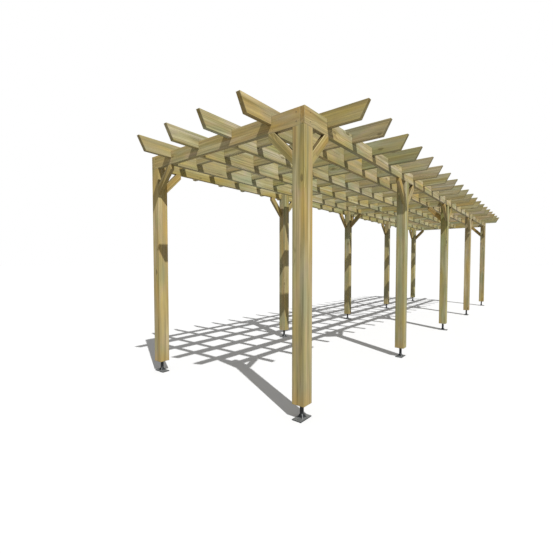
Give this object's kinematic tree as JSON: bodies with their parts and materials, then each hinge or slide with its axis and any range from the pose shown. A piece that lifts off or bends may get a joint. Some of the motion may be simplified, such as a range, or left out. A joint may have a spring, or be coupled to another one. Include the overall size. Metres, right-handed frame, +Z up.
{
  "type": "wooden pergola",
  "caption": "Long open timber pergola: square posts on steel feet, beams with knee braces and a flat roof grid of halved rafters with slant-cut tails.",
  "frame": {"origin": "middle of the plan, on the ground under the base plates", "axes": "+X along the pergola's length, +Y across it, +Z up"},
  "size_m": [10.62, 2.92, 2.615],
  "materials": {
    "post_timber": "planed pressure-treated pine, weathered",
    "beam_timber": "planed pressure-treated pine, weathered",
    "long_rafter_timber": "planed pressure-treated pine, weathered",
    "cross_rafter_timber": "planed pressure-treated pine, weathered",
    "brace_timber": "planed pressure-treated pine, weathered",
    "foot_steel": "dark grey coated steel"
  },
  "bodies": {
    "root": {"post_front_1": "post_timber", "post_front_2": "post_timber", "post_front_3": "post_timber", "post_front_4": "post_timber", "post_front_5": "post_timber", "post_back_1": "post_timber", "post_back_2": "post_timber", "post_back_3": "post_timber", "post_back_4": "post_timber", "post_back_5": "post_timber", "foot_front_1": "foot_steel", "foot_front_2": "foot_steel", "foot_front_3": "foot_steel", "foot_front_4": "foot_steel", "foot_front_5": "foot_steel", "foot_back_1": "foot_steel", "foot_back_2": "foot_steel", "foot_back_3": "foot_steel", "foot_back_4": "foot_steel", "foot_back_5": "foot_steel", "beam_front_near": "beam_timber", "beam_front_far": "beam_timber", "beam_back_near": "beam_timber", "beam_back_far": "beam_timber", "cross_beam_near": "beam_timber", "cross_beam_middle": "beam_timber", "cross_beam_far": "beam_timber", "long_rafter_1_near": "long_rafter_timber", "long_rafter_1_far": "long_rafter_timber", "long_rafter_2_near": "long_rafter_timber", "long_rafter_2_far": "long_rafter_timber", "long_rafter_3_near": "long_rafter_timber", "long_rafter_3_far": "long_rafter_timber", "long_rafter_4_near": "long_rafter_timber", "long_rafter_4_far": "long_rafter_timber", "cross_rafters_bay_1": "cross_rafter_timber", "cross_rafters_bay_2": "cross_rafter_timber", "cross_rafters_bay_3": "cross_rafter_timber", "cross_rafters_bay_4": "cross_rafter_timber", "braces_front": "brace_timber", "braces_back": "brace_timber", "braces_near_end": "brace_timber", "braces_middle": "brace_timber", "braces_far_end": "brace_timber"}
  },
  "joints": []
}
